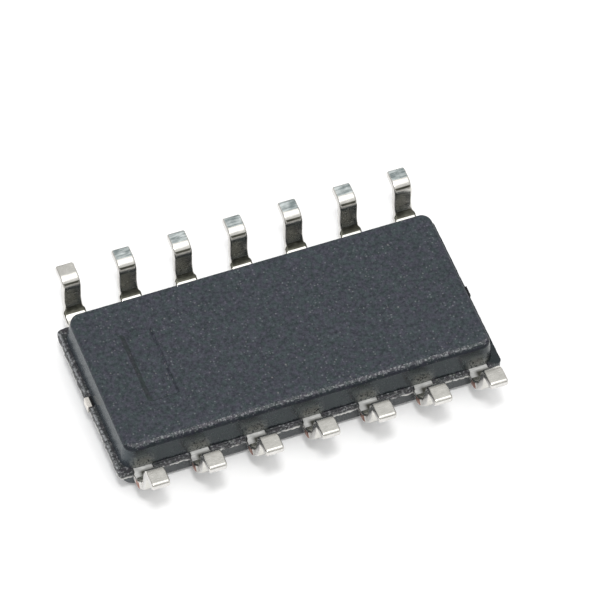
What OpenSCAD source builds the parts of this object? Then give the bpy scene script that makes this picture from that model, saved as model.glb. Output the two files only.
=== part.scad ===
// Fourteen-lead small-outline logic chip with gull-wing leads.
// It lies on its marked face with the solder feet up. Millimetres, +Z up.
// The origin is the middle of the marked face, X runs along the rows of leads
// and lead 1 is in the +Y row at the -X end, beside the tool-mark recess.

/* [Moulded body] */
// Length over the parting-line flange
body_length = 8.7; // [8.6:0.05:9.0]
// Width over the parting-line flange
body_width = 3.95; // [3.8:0.05:4.1]
// Height from the marked face to the underside
body_height = 1.45; // [1.35:0.05:1.65]
// Draft of the moulded walls in degrees
draft_angle = 8; // [5:0.5:12]
// Radius of the upright corners at the parting line
corner_radius = 0.31; // [0.25:0.01:0.4]
// Ledge that the flange leaves at each short end
end_ledge = 0.125; // [0.06:0.005:0.2]
// Ledge that the flange leaves beside each row of leads
side_ledge = 0.065; // [0.03:0.005:0.1]
// Radius of the flange's corners
flange_corner = 0.1; // [0.04:0.01:0.2]

/* [Marks in the body] */
// Distance from the underside's short edge to the tool-mark recess
recess_inset = 0.85; // [0.6:0.05:1.2]
// Size of the recess along the body
recess_length = 0.72; // [0.5:0.02:0.9]
// Size of the recess across the body
recess_width = 1.84; // [1.4:0.02:2.2]
// Offset of the recess from the body's middle, towards lead 1
recess_offset = 0.09; // [-0.2:0.01:0.2]
// Depth of the recess
recess_depth = 0.05; // [0.02:0.005:0.08]
// Run of the recess's sloped end wall
recess_slope = 0.09; // [0.03:0.01:0.15]
// Diameter of the lead 1 dimple in the marked face
dimple_diameter = 0.6; // [0.4:0.05:0.8]
// Depth of the dimple
dimple_depth = 0.06; // [0.03:0.01:0.1]
// Distance from the flange to the middle of the dimple, both ways
dimple_inset = 0.9; // [0.7:0.05:1.1]

/* [Leads] */
// Spacing of the leads in a row
lead_pitch = 1.27; // [1.24:0.01:1.3]
// Span from the tips of one row to the tips of the other
lead_span = 6; // [5.8:0.05:6.2]
// Thickness of the lead frame's sheet
sheet_thickness = 0.2; // [0.17:0.01:0.24]
// Width of a lead's leg and foot
lead_width = 0.41; // [0.33:0.01:0.45]
// Width of a lead where it leaves the body
shoulder_width = 0.44; // [0.4:0.01:0.5]
// Width across the stubs of the cut dam bar
stub_width = 0.5; // [0.46:0.01:0.6]
// Length of the stubs before the knee
stub_run = 0.03; // [0.02:0.01:0.05]
// Part of the knee's bend that the stubs follow, in degrees
stub_angle = 55; // [40:1:70]
// Height of the solder plane above the underside
standoff = 0.25; // [0.1:0.01:0.3]
// Flat length of a foot
foot_flat = 0.28; // [0.22:0.01:0.36]
// Slope of a leg in degrees, 90 is upright
leg_angle = 85; // [80:0.5:89]
// Inside radius of the knee beside the body
knee_radius = 0.36; // [0.3:0.01:0.4]
// Inside radius of the heel above the foot
heel_radius = 0.08; // [0.06:0.01:0.1]

/* [Lead frame inside] */
// Length of the die paddle
paddle_length = 2.4; // [2.2:0.05:2.6]
// Width of the die paddle
paddle_width = 1.6; // [1.5:0.05:1.7]
// Step of the paddle out of the leads' plane
paddle_step = 0.18; // [0.1:0.01:0.22]
// Width of the two tie bars
tie_bar_width = 0.25; // [0.2:0.01:0.3]
// Length of the cut tie bar past the flange
tie_bar_stub = 0.03; // [0.01:0.01:0.06]
// Straight run of the tie bar between the paddle and its step
tie_bar_lead_in = 0.08; // [0.04:0.01:0.12]
// Width of the fingers inside the body
finger_width = 0.3; // [0.26:0.01:0.32]
// Room between neighbouring fingers and beside the tie bars
finger_gap = 0.14; // [0.1:0.01:0.16]
// Room between the fingers' tips and the paddle
paddle_gap = 0.24; // [0.2:0.01:0.3]
// Spacing of the three middle tips along the paddle
tip_spacing = 0.7; // [0.6:0.02:0.74]
// Distance from the flange to the fingers' elbows
elbow_inset = 0.58; // [0.5:0.02:0.62]
// Distance from the flange to the end fingers' elbows
end_elbow_inset = 1.18; // [1.1:0.02:1.24]
// Width of the anchor that locks each lead in the body
anchor_width = 0.64; // [0.56:0.02:0.7]
// Length of the anchor along the lead
anchor_length = 0.16; // [0.1:0.01:0.2]
// Distance from the flange to the middle of the anchor
anchor_inset = 0.36; // [0.3:0.01:0.42]

/* [Die and wires] */
// Length of the silicon die
die_length = 1.1; // [0.9:0.05:1.3]
// Width of the silicon die
die_width = 1; // [0.9:0.05:1.1]
// Thickness of the silicon die
die_thickness = 0.25; // [0.2:0.01:0.28]
// Thickness of the adhesive under the die
attach_thickness = 0.025; // [0.015:0.005:0.04]
// Fillet of adhesive around the die
attach_fillet = 0.06; // [0.04:0.01:0.1]
// Distance from the die's edge to the bond pads
pad_inset = 0.08; // [0.06:0.01:0.1]
// Spacing of the bond pads along the die's long edges
pad_spacing = 0.3; // [0.26:0.01:0.34]
// Spacing of the bond pads along the die's short edges
end_pad_spacing = 0.22; // [0.2:0.01:0.24]
// Diameter of the bond wires
wire_diameter = 0.03; // [0.02:0.005:0.04]
// Diameter of the ball on each pad
ball_diameter = 0.075; // [0.06:0.005:0.09]
// Height of the ball
ball_height = 0.02; // [0.015:0.005:0.03]
// Height of the wire loops over the die
loop_height = 0.18; // [0.14:0.01:0.22]
// Distance from a finger's tip to the end of its wire
stitch_inset = 0.12; // [0.08:0.01:0.16]

/* [Hidden] */
$fn = 48;

// Leads in one row, and the column in its middle
row_count = 7;
mid_column = 4;
lead_count = 2 * row_count;

// Heights: the lead frame lies half way up the body
frame_mid = body_height / 2;
frame_low = frame_mid - sheet_thickness / 2;
solder_plane = body_height + standoff;
foot_mid = solder_plane - sheet_thickness / 2;
paddle_mid = frame_mid + paddle_step;
paddle_low = paddle_mid - sheet_thickness / 2;
die_back = paddle_low - attach_thickness;
die_face = die_back - die_thickness;

// Outline of both mould halves in the middle of the flange, and their taper
half_height = body_height / 2;
half_taper = half_height * tan(draft_angle);
flange_taper = sheet_thickness / 2 * tan(draft_angle);
half_length = body_length - 2 * (end_ledge - flange_taper);
half_width = body_width - 2 * (side_ledge - flange_taper);
half_radius = corner_radius + flange_taper;
cut_over = 0.05;
draft_over = 0.1;

// Bends of a lead, measured on the middle of the sheet
knee_mid = knee_radius + sheet_thickness / 2;
heel_mid = heel_radius + sheet_thickness / 2;
bend_rise = (knee_mid + heel_mid) * (1 - cos(leg_angle));
bend_reach = (knee_mid + heel_mid) * sin(leg_angle);
leg_length = (foot_mid - frame_mid - bend_rise) / sin(leg_angle);
leg_reach = leg_length * cos(leg_angle);
anchor_y = body_width / 2 - anchor_inset;
knee_y = lead_span / 2 - foot_flat - bend_reach - leg_reach;
shoulder_run = knee_y - stub_run - anchor_y;

// Fingers inside the body, in the quarter where X and Y are positive
elbow_y = body_width / 2 - elbow_inset;
end_elbow_y = body_width / 2 - end_elbow_inset;
tip_y = paddle_width / 2 + paddle_gap;
tip_x = paddle_length / 2 + paddle_gap;
end_tip_y = tie_bar_width / 2 + finger_gap + finger_width / 2;
corner_tip_y = end_tip_y + finger_width + finger_gap;

// Bond pads, wire loops and the sides of a wire
pad_y = die_width / 2 - pad_inset;
pad_x = die_length / 2 - pad_inset;
wire_sides = 8;
neck_height = ball_height + wire_diameter / 2;
knee_height = loop_height * 0.75;
loop_lean = 0.06;
loop_shoulder = 0.45;
loop_drop = 0.8;
stitch_spread = 1.4;

resin = [0.2, 0.21, 0.23];
tin = [0.8, 0.79, 0.76];
copper = [0.75, 0.47, 0.3];
silver_glue = [0.62, 0.62, 0.6];
silicon = [0.4, 0.43, 0.5];
gold = [0.85, 0.66, 0.25];

// Column of a lead, counted from the middle of its row
function column(i) = i <= row_count ? i - mid_column : lead_count - mid_column + 1 - i;

function unit(v) = v / norm(v);
function left_of(v) = unit([-v.y, v.x]);
function miter(a, b) = (a + b) / (1 + a * b);

// Sideways steps at each point of a polyline
function steps(path) = let (
    last = len(path) - 1,
    side = [for (i = [0 : last - 1]) left_of(path[i + 1] - path[i])]
) [for (i = [0 : last]) i == 0 ? side[0] : i == last ? side[last - 1] : miter(side[i - 1], side[i])];

// Outline of a strip of even width along a polyline
function ribbon(path, width) = let (s = steps(path), last = len(path) - 1) concat(
    [for (i = [0 : last]) path[i] + s[i] * width / 2],
    [for (i = [last : -1 : 0]) path[i] - s[i] * width / 2]
);

// Middle line of the finger in column k, from its anchor to its tip
function finger_path(k) =
    k == 0 ? [[0, anchor_y], [0, tip_y]] :
    k == 1 ? [[lead_pitch, anchor_y], [lead_pitch, elbow_y], [tip_spacing, tip_y]] :
    k == 2 ? [[2 * lead_pitch, anchor_y], [2 * lead_pitch, elbow_y], [tip_x, corner_tip_y]] :
    [[3 * lead_pitch, anchor_y], [3 * lead_pitch, end_elbow_y], [tip_x, end_tip_y]];

// Point on the finger in column k where its wire ends
function stitch_point(k) = let (p = finger_path(k), last = len(p) - 1)
    p[last] + stitch_inset * unit(p[last - 1] - p[last]);

// Bond pad for column k
function pad_point(k) =
    k <= 1 ? [k * pad_spacing, pad_y] :
    [pad_x, end_pad_spacing * (k == 2 ? 1.5 : 0.5)];

// Stations of a wire: distance from the pad, height over the die face, radius
function wire_stations(reach) = [
    [0, 0, ball_diameter / 2],
    [0, ball_height, ball_diameter / 2],
    [0, neck_height, wire_diameter / 2],
    [0, knee_height, wire_diameter / 2],
    [loop_lean, loop_height, wire_diameter / 2],
    [reach * loop_shoulder, loop_height * 0.95, wire_diameter / 2],
    [reach * loop_drop, loop_height * 0.4, wire_diameter / 2],
    [reach, die_face - frame_low, stitch_spread * wire_diameter / 2]
];

// Direction of the wire at each station, in its own upright plane
function headings(st) = let (last = len(st) - 1, run = [for (s = st) [s.x, s.y]])
    [for (i = [0 : last]) let (
        back = i == 0 ? [0, 1] : unit(run[i] - run[i - 1]),
        ahead = i == last ? back : unit(run[i + 1] - run[i])
    ) unit(back + ahead)];

// Points of the wire in column k, one ring for each station
function wire_points(k) = let (
    from = pad_point(k),
    to = stitch_point(k),
    u = unit(to - from),
    side = [-u.y, u.x, 0],
    st = wire_stations(norm(to - from)),
    head = headings(st),
    last = len(st) - 1
) [for (i = [0 : last], j = [0 : wire_sides - 1]) let (
    a = 360 * j / wire_sides,
    d = [u.x * head[i].x, u.y * head[i].x, -head[i].y],
    c = [from.x + u.x * st[i].x, from.y + u.y * st[i].x, die_face - st[i].y],
    p = c + st[i].z * (cos(a) * side + sin(a) * cross(side, d)),
    slip = (frame_low - p.z) / d.z
) i == last ? [p.x + d.x * slip, p.y + d.y * slip, frame_low] : p];

function wire_faces(rings) = concat(
    [[for (j = [wire_sides - 1 : -1 : 0]) j]],
    [for (i = [0 : rings - 2], j = [0 : wire_sides - 1]) let (n = (j + 1) % wire_sides)
        [i * wire_sides + j, i * wire_sides + n, (i + 1) * wire_sides + n, (i + 1) * wire_sides + j]],
    [[for (j = [0 : wire_sides - 1]) (rings - 1) * wire_sides + j]]
);

function trapezoid(size, height, inset) = [
    [-size / 2, 0], [size / 2, 0], [size / 2 - inset, height], [inset - size / 2, height]
];

// Block with tapered flat walls and conical corners, cut level at both faces
module drafted_block(size_x, size_y, radius, height, inset) {
    over = height * draft_over;
    flare = inset * draft_over;
    reach = height + 2 * over;
    lean = inset + 2 * flare;
    intersection() {
        translate([-size_x, -size_y, 0])
            cube([2 * size_x, 2 * size_y, height]);
        translate([0, 0, -over]) {
            rotate([90, 0, 0])
                linear_extrude(size_y - 2 * radius, center = true)
                    polygon(trapezoid(size_x + 2 * flare, reach, lean));
            rotate([90, 0, 90])
                linear_extrude(size_x - 2 * radius, center = true)
                    polygon(trapezoid(size_y + 2 * flare, reach, lean));
            for (x = [-1, 1], y = [-1, 1])
                translate([x * (size_x / 2 - radius), y * (size_y / 2 - radius), 0])
                    cylinder(h = reach, r1 = radius + flare, r2 = radius + flare - lean);
        }
    }
}

// Straight piece of sheet along +Y, with what follows it
module straight(run, width) {
    translate([-width / 2, 0, -sheet_thickness / 2])
        cube([width, run, sheet_thickness]);
    translate([0, run, 0])
        children();
}

// Bend of the sheet, up for a positive angle, with what follows it
module bend(radius, angle, width) {
    mid = radius + sheet_thickness / 2;
    up = sign(angle);
    translate([0, 0, up * mid]) {
        mirror([0, 0, up < 0 ? 1 : 0])
            rotate([90, 0, 90])
                rotate(-90)
                    rotate_extrude(angle = abs(angle))
                        translate([radius, -width / 2])
                            square([sheet_thickness, width]);
        rotate([angle, 0, 0])
            translate([0, 0, -up * mid])
                children();
    }
}

// Places what follows in the row and column of lead i
module at_lead(i) {
    mirror([column(i) < 0 ? 1 : 0, 0, 0])
        mirror([0, i > row_count ? 1 : 0, 0])
            children();
}

module lead(i) {
    k = abs(column(i));
    color(tin)
        at_lead(i)
            translate([0, 0, frame_mid]) {
                linear_extrude(sheet_thickness, center = true)
                    polygon(ribbon(finger_path(k), finger_width));
                translate([k * lead_pitch, anchor_y, 0]) {
                    cube([anchor_width, anchor_length, sheet_thickness], center = true);
                    straight(shoulder_run, shoulder_width)
                        straight(stub_run, stub_width)
                            bend(knee_radius, stub_angle, stub_width)
                                bend(knee_radius, leg_angle - stub_angle, lead_width)
                                    straight(leg_length, lead_width)
                                        bend(heel_radius, -leg_angle, lead_width)
                                            straight(foot_flat, lead_width);
                }
            }
}

module die_paddle() {
    step_start = paddle_length / 2 + tie_bar_lead_in;
    tie_bar = [
        [0, paddle_mid], [step_start, paddle_mid],
        [step_start + paddle_step, frame_mid], [body_length / 2 + tie_bar_stub, frame_mid]
    ];
    color(copper) {
        translate([0, 0, paddle_mid])
            cube([paddle_length, paddle_width, sheet_thickness], center = true);
        for (end = [0, 1])
            mirror([end, 0, 0])
                rotate([90, 0, 0])
                    linear_extrude(tie_bar_width, center = true)
                        polygon(ribbon(tie_bar, sheet_thickness));
    }
}

module die_attach() {
    color(silver_glue)
        translate([0, 0, paddle_low])
            mirror([0, 0, 1])
                drafted_block(
                    die_length + 2 * attach_fillet, die_width + 2 * attach_fillet,
                    attach_fillet, attach_thickness, attach_fillet / 2
                );
}

module silicon_die() {
    color(silicon)
        translate([0, 0, die_back])
            mirror([0, 0, 1])
                linear_extrude(die_thickness)
                    square([die_length, die_width], center = true);
}

module bond_wire(i) {
    k = abs(column(i));
    points = wire_points(k);
    color(gold)
        at_lead(i)
            polyhedron(points, wire_faces(len(points) / wire_sides));
}

// Outline of the flange
module flange_outline() {
    square([body_length - 2 * flange_corner, body_width], center = true);
    square([body_length, body_width - 2 * flange_corner], center = true);
    for (x = [-1, 1], y = [-1, 1])
        translate([x * (body_length / 2 - flange_corner), y * (body_width / 2 - flange_corner)])
            circle(flange_corner);
}

// Both mould halves and the flange of sheet thickness between them
module body_form() {
    translate([0, 0, frame_mid]) {
        for (half = [0, 1])
            mirror([0, 0, half])
                drafted_block(half_length, half_width, half_radius, half_height, half_taper);
        linear_extrude(sheet_thickness, center = true)
            flange_outline();
    }
}

module tool_mark_recess() {
    start = half_taper - half_length / 2 + recess_inset;
    translate([start, recess_offset + recess_width / 2, body_height])
        rotate([90, 0, 0])
            linear_extrude(recess_width)
                polygon([
                    [0, 0], [recess_slope, -recess_depth], [recess_length, -recess_depth],
                    [recess_length, cut_over], [0, cut_over]
                ]);
}

module lead_one_dimple() {
    translate([dimple_inset - body_length / 2, body_width / 2 - dimple_inset, -cut_over])
        cylinder(d = dimple_diameter, h = dimple_depth + cut_over);
}

module moulded_body() {
    color(resin)
        difference() {
            body_form();
            tool_mark_recess();
            lead_one_dimple();
            for (i = [1 : lead_count])
                lead(i);
            die_paddle();
            die_attach();
            silicon_die();
            for (i = [1 : lead_count])
                bond_wire(i);
        }
}

moulded_body();
lead(1);  // lead_01
lead(2);  // lead_02
lead(3);  // lead_03
lead(4);  // lead_04
lead(5);  // lead_05
lead(6);  // lead_06
lead(7);  // lead_07
lead(8);  // lead_08
lead(9);  // lead_09
lead(10);  // lead_10
lead(11);  // lead_11
lead(12);  // lead_12
lead(13);  // lead_13
lead(14);  // lead_14
die_paddle();
die_attach();
silicon_die();
bond_wire(1);  // bond_wire_01
bond_wire(2);  // bond_wire_02
bond_wire(3);  // bond_wire_03
bond_wire(4);  // bond_wire_04
bond_wire(5);  // bond_wire_05
bond_wire(6);  // bond_wire_06
bond_wire(7);  // bond_wire_07
bond_wire(8);  // bond_wire_08
bond_wire(9);  // bond_wire_09
bond_wire(10);  // bond_wire_10
bond_wire(11);  // bond_wire_11
bond_wire(12);  // bond_wire_12
bond_wire(13);  // bond_wire_13
bond_wire(14);  // bond_wire_14
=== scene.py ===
# %% [markdown]
# # A fourteen-lead logic chip on its back
# This lesson dresses a small-outline chip: a black moulded resin body with seven tinned
# gull-wing leads along each long side. The chip lies on its marked face, so its underside
# and its solder feet point up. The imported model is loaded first. It fixes every size, and
# all that follows is built around it in the same frame, in metres.

import math

import bmesh
import bpy
from mathutils import Matrix, Vector, noise


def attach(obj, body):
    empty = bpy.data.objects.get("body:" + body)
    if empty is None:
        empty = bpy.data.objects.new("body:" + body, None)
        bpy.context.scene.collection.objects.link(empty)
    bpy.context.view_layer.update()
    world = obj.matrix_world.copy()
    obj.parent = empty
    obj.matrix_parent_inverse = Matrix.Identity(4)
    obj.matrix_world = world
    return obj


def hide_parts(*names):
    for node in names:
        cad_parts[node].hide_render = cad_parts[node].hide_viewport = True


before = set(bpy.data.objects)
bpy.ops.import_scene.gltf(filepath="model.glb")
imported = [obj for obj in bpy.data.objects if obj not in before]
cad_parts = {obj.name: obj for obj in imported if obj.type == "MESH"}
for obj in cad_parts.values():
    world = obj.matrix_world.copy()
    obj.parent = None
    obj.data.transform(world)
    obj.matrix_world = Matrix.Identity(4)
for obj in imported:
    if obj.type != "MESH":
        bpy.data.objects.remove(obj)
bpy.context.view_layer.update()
MM = 0.001
scene = bpy.context.scene


def as_mm(*points):
    """The coordinates of points, in millimetres for a print."""
    return [round(v / MM, 3) for point in points for v in point]


# %% [markdown]
# ## Camera
# The chip is less than nine millimetres long and was taken with a long lens from about
# twelve centimetres: its far edges are hardly smaller than its near ones. A camera is placed
# by the direction it looks back along, so the three axes are built from a turn, a rise and a
# small roll. The lens shift puts the chip where it stands in the picture.

# %% Camera
VIEW_TURN = math.radians(24.57)
VIEW_RISE = math.radians(55.11)
VIEW_ROLL = math.radians(-4.21)
VIEW_RANGE = 118.3 * MM
VIEW_AIM = Vector((0, 0, 0.775 * MM))
SENSOR = 36
LENS = 332.4
LENS_SHIFT = (0.0352, 0.0792)
CLIP_NEAR, CLIP_FAR = 0.01, 10

back = Vector((
    -math.sin(VIEW_TURN) * math.cos(VIEW_RISE),
    -math.cos(VIEW_TURN) * math.cos(VIEW_RISE),
    math.sin(VIEW_RISE),
))
right = Vector((math.cos(VIEW_TURN), -math.sin(VIEW_TURN), 0))
up = back.cross(right)
cam_x = right * math.cos(VIEW_ROLL) - up * math.sin(VIEW_ROLL)
cam_y = right * math.sin(VIEW_ROLL) + up * math.cos(VIEW_ROLL)
lens = bpy.data.cameras.new("photo_lens")
lens.sensor_width = SENSOR
lens.lens = LENS
lens.shift_x, lens.shift_y = LENS_SHIFT
lens.clip_start, lens.clip_end = CLIP_NEAR, CLIP_FAR
camera = bpy.data.objects.new("photo_camera", lens)
turned = Matrix((cam_x, cam_y, back)).transposed().to_4x4()
camera.matrix_world = Matrix.Translation(VIEW_AIM + back * VIEW_RANGE) @ turned
scene.collection.objects.link(camera)
scene.camera = camera
print("camera at mm:", as_mm(camera.matrix_world.translation))

# %% [markdown]
# ## Helpers for shader nodes
# Every finish below is a small network of nodes. Adding and linking each node by hand takes
# several lines, so a few helpers keep the cells short. One adds a node and sets or links its
# inputs, others do a step of arithmetic or mix two colours, and the last one starts a
# material with its place in millimetres, because a grain of 0.03 reads better than 0.00003.


# %% Node helpers
def feed(tree, socket, value):
    """Links another node's output to an input, or sets the input's own value."""
    if isinstance(value, bpy.types.NodeSocket):
        tree.links.new(value, socket)
    else:
        socket.default_value = value


def add(tree, kind, inputs=None, **settings):
    """Adds a node. An input is a value, or another node's output socket."""
    made = tree.nodes.new("ShaderNode" + kind)
    for name, value in settings.items():
        setattr(made, name, value)
    for name, value in (inputs or {}).items():
        feed(tree, made.inputs[name], value)
    return made


def maths(tree, operation, first, second=0.0, clamp=False):
    """One step of arithmetic, given as an output socket."""
    step = add(tree, "Math", {0: first, 1: second}, operation=operation, use_clamp=clamp)
    return step.outputs[0]


def blend(tree, share, first, second, kind="MIX"):
    """A mix of two colours, given as an output socket. A Mix node's colours are inputs 6 and 7."""
    colours = {0: share, 6: first, 7: second}
    return add(tree, "Mix", colours, data_type="RGBA", blend_type=kind).outputs[2]


def spread(tree, value, low, high, to_low=0.0, to_high=1.0):
    """Stretches a span of values onto another, with its ends held."""
    ramp = add(tree, "MapRange", {
        "Value": value, "From Min": low, "From Max": high, "To Min": to_low, "To Max": to_high,
    })
    return ramp.outputs[0]


def start_finish(name):
    """A material with its nodes, its shader, and the object's own place in millimetres."""
    finish = bpy.data.materials.new(name)
    finish.use_nodes = True
    tree = finish.node_tree
    metres = add(tree, "TexCoord").outputs["Object"]
    place = add(tree, "VectorMath", {0: metres, "Scale": 1 / MM}, operation="SCALE").outputs[0]
    return finish, tree, tree.nodes["Principled BSDF"], place


print("node helpers ready")

# %% [markdown]
# ## Shared effect: the mould's grain
# Moulding resin is a black epoxy that is mostly glass beads. The spark-eroded mould leaves a
# fine matt grain on it, with a faint play of violet and green. Several surfaces show it in
# their own size, so it is a node group with sockets rather than a copy in every finish. Fine
# noise makes the pits, coarser noise the clumps, and slow clouds choose the tint.

# %% Grain group
CLUMP_RATIO = 0.42
CLOUD_SCALE = 8.0
SHADE_SPAN, CLOUD_SPAN = (0.72, 1.28), (0.38, 0.62)
VIOLET, GREEN = (1.13, 0.95, 1.11, 1), (0.9, 1.05, 0.96, 1)


def start_group(name, takes, gives):
    """A node group with its input and output sockets."""
    group = bpy.data.node_groups.new(name, "ShaderNodeTree")
    for label, kind, value in takes:
        socket = group.interface.new_socket(label, in_out="INPUT", socket_type=kind)
        if value is not None:
            socket.default_value = value
    for label, kind in gives:
        group.interface.new_socket(label, in_out="OUTPUT", socket_type=kind)
    return group, group.nodes.new("NodeGroupInput").outputs, group.nodes.new("NodeGroupOutput")


def grouped(tree, group, inputs):
    """Outputs of a node group that is placed in a finish with its own values."""
    return add(tree, "Group", inputs, node_tree=group).outputs


grain_group, taken, given = start_group(
    "mould_grain",
    [("Place", "NodeSocketVector", None), ("Size", "NodeSocketFloat", 0.04)],
    [("Height", "NodeSocketFloat"), ("Shade", "NodeSocketFloat"), ("Tint", "NodeSocketColor")],
)
finer = maths(grain_group, "DIVIDE", 1.0, taken["Size"])
pits = add(grain_group, "TexNoise", {
    "Vector": taken["Place"], "Scale": finer, "Detail": 2.0, "Roughness": 0.7,
}).outputs["Fac"]
coarser = maths(grain_group, "DIVIDE", CLUMP_RATIO, taken["Size"])
clumps = add(grain_group, "TexNoise", {
    "Vector": taken["Place"], "Scale": coarser, "Detail": 2.0,
}).outputs["Fac"]
clouds = add(grain_group, "TexNoise", {
    "Vector": taken["Place"], "Scale": CLOUD_SCALE, "Detail": 5.0,
}).outputs["Fac"]
shade = spread(grain_group, maths(grain_group, "ADD", pits, clumps), *SHADE_SPAN)
tint = blend(grain_group, spread(grain_group, clouds, *CLOUD_SPAN), VIOLET, GREEN)
for name, socket in (("Height", pits), ("Shade", shade), ("Tint", tint)):
    grain_group.links.new(socket, given.inputs[name])
print("group:", grain_group.name)

# %% [markdown]
# ## Shared effects: bead glints and crumbs
# Single glass beads lie open at the surface, and their glint is painted into the colour as
# pale specks: a painted highlight on a real bead. Where the resin was rubbed or broken it
# shows pale crumbs. A Voronoi pattern scatters the beads: a cell shows its bead only where
# its own random number is high enough. The crumbs are noise that is cut off sharply, so only
# its peaks remain.

# %% Speck and crumb groups
FAINTEST_BEAD = 0.5
CRUMB_SHARPNESS = 12.0

bead_glint_group, taken, given = start_group(
    "glass_beads_painted_glints",
    [("Place", "NodeSocketVector", None), ("Spacing", "NodeSocketFloat", 0.06),
     ("Share", "NodeSocketFloat", 0.2), ("Reach", "NodeSocketFloat", 0.3)],
    [("Mask", "NodeSocketFloat"), ("Tint", "NodeSocketColor")],
)
finer = maths(bead_glint_group, "DIVIDE", 1.0, taken["Spacing"])
beads = add(bead_glint_group, "TexVoronoi", {"Vector": taken["Place"], "Scale": finer}).outputs
chance = add(bead_glint_group, "SeparateColor", {"Color": beads["Color"]}).outputs
rare = maths(bead_glint_group, "SUBTRACT", 1.0, taken["Share"])
chosen = maths(bead_glint_group, "GREATER_THAN", chance[0], rare)
soft_rim = maths(bead_glint_group, "DIVIDE", beads["Distance"], taken["Reach"])
core = maths(bead_glint_group, "SUBTRACT", 1.0, soft_rim, clamp=True)
# painted glint: each bead's random brightness stands in for its highlight
painted_glint = maths(bead_glint_group, "ADD", chance[1], FAINTEST_BEAD)
strength = maths(bead_glint_group, "MULTIPLY", core, painted_glint, clamp=True)
bead_glint_group.links.new(maths(bead_glint_group, "MULTIPLY", strength, chosen), given.inputs["Mask"])
bead_glint_group.links.new(beads["Color"], given.inputs["Tint"])

crumb_group, taken, given = start_group(
    "pale_crumbs",
    [("Place", "NodeSocketVector", None), ("Size", "NodeSocketFloat", 0.06),
     ("Start", "NodeSocketFloat", 0.55)],
    [("Mask", "NodeSocketFloat")],
)
finer = maths(crumb_group, "DIVIDE", 1.0, taken["Size"])
lumps = add(crumb_group, "TexNoise", {
    "Vector": taken["Place"], "Scale": finer, "Detail": 3.0, "Roughness": 0.65,
}).outputs["Fac"]
above = maths(crumb_group, "SUBTRACT", lumps, taken["Start"])
crumbs = maths(crumb_group, "MULTIPLY", above, CRUMB_SHARPNESS, clamp=True)
crumb_group.links.new(crumbs, given.inputs["Mask"])
print("groups:", [g.name for g in bpy.data.node_groups])

# %% [markdown]
# ## One recipe for the resin
# All surfaces of the body are the same resin, moulded, worn or broken in their own way. They
# could each be a material of their own making, but one recipe that takes values keeps them
# alike where they should be. It mixes the grain's two colours, lays beads and crumbs on top,
# and ends with a band of crumbs that grows along one axis where an edge is worn.

# %% Resin recipe
PALE_BEAD_GLINT = (0.30, 0.32, 0.33, 1)
PALE_CRUMB = (0.36, 0.37, 0.38, 1)
BEAD_PALENESS = 0.92
HEIGHT_SPAN = (0.3, 0.7)


def resin_finish(name, dark, light, grain_size, bump, rough, index, specks, crumbs=(), band=None):
    """One finish of the resin: its material, nodes, shader, place and colour.

    A speck layer has a spacing, share, reach and level, a crumb layer a size, start and level.
    A band has an axis, where it begins and is full, its crumbs' size and start, and a colour.
    """
    finish, tree, shader, place = start_finish(name)
    grain = grouped(tree, grain_group, {"Place": place, "Size": grain_size})
    base = blend(tree, grain["Shade"], (*dark, 1), (*light, 1))
    base = blend(tree, 1.0, base, grain["Tint"], "MULTIPLY")
    for spacing, share, reach, level in specks:
        bead = grouped(tree, bead_glint_group, {
            "Place": place, "Spacing": spacing, "Share": share, "Reach": reach,
        })
        # the pale specks are real beads with a painted glint on them
        tint = blend(tree, BEAD_PALENESS, bead["Tint"], PALE_BEAD_GLINT)
        base = blend(tree, maths(tree, "MULTIPLY", bead["Mask"], level), base, tint)
    for size, start, level in crumbs:
        crumb = grouped(tree, crumb_group, {"Place": place, "Size": size, "Start": start})
        base = blend(tree, maths(tree, "MULTIPLY", crumb["Mask"], level), base, PALE_CRUMB)
    if band:
        axis, first, full, size, start, colour = band
        along = add(tree, "SeparateXYZ", {"Vector": place}).outputs[axis]
        crumb = grouped(tree, crumb_group, {"Place": place, "Size": size, "Start": start})
        line = maths(tree, "MULTIPLY", spread(tree, along, first, full), crumb["Mask"])
        base = blend(tree, line, base, colour)
    tree.links.new(base, shader.inputs["Base Color"])
    roughness = spread(tree, grain["Height"], *HEIGHT_SPAN, *rough)
    tree.links.new(roughness, shader.inputs["Roughness"])
    shader.inputs["IOR"].default_value = index
    strength, depth = bump
    relief = add(tree, "Bump", {
        "Height": grain["Height"], "Strength": strength, "Distance": depth * MM,
    })
    tree.links.new(relief.outputs[0], shader.inputs["Normal"])
    return finish, tree, shader, place, base


print("resin recipe ready")

# %% [markdown]
# ## Resin of the two big faces
# The two big faces carry the matt grain, and the underside is a little worn along its near
# side. Its near rim is rubbed to pale crumbs, with painted shade below them: a darker foot
# where the rim turns down. The slope of the recess is painted darker than the face, as
# painted shade. Four calls of the recipe with their own values are enough.

# %% Finishes of faces and rims
FACE_WEAR, RIM_WEAR = (0.13, 0.14, 0.15, 1), (0.16, 0.17, 0.18, 1)

resin_face = resin_finish(
    "resin_matt_face", dark=(0.0102, 0.0148, 0.0198), light=(0.0496, 0.0602, 0.0705),
    grain_size=0.03, bump=(0.5, 0.006), rough=(0.5, 0.7), index=1.4,
    specks=[(0.07, 0.35, 0.35, 0.3), (0.2, 0.2, 0.14, 0.5)],
    band=("Y", -1.6, -1.84, 0.05, 0.53, FACE_WEAR),
)[0]
resin_rim = resin_finish(
    "resin_worn_rim", dark=(0.02, 0.023, 0.027), light=(0.07, 0.076, 0.083),
    grain_size=0.03, bump=(0.8, 0.01), rough=(0.45, 0.6), index=1.4,
    specks=[(0.05, 0.4, 0.5, 0.35)], crumbs=[(0.05, 0.53, 0.55)],
)[0]
# painted shade: a darker foot under the worn near rim, with a band of worn crumbs at its top
resin_rim_shade_and_wear = resin_finish(
    "resin_rim_shade_and_wear", dark=(0.009, 0.012, 0.016), light=(0.021, 0.026, 0.032),
    grain_size=0.03, bump=(0.4, 0.006), rough=(0.45, 0.6), index=1.3,
    specks=[(0.05, 0.2, 0.4, 0.3)],
    band=("Z", 1.395, 1.435, 0.05, 0.5, RIM_WEAR),
)[0]
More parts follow.
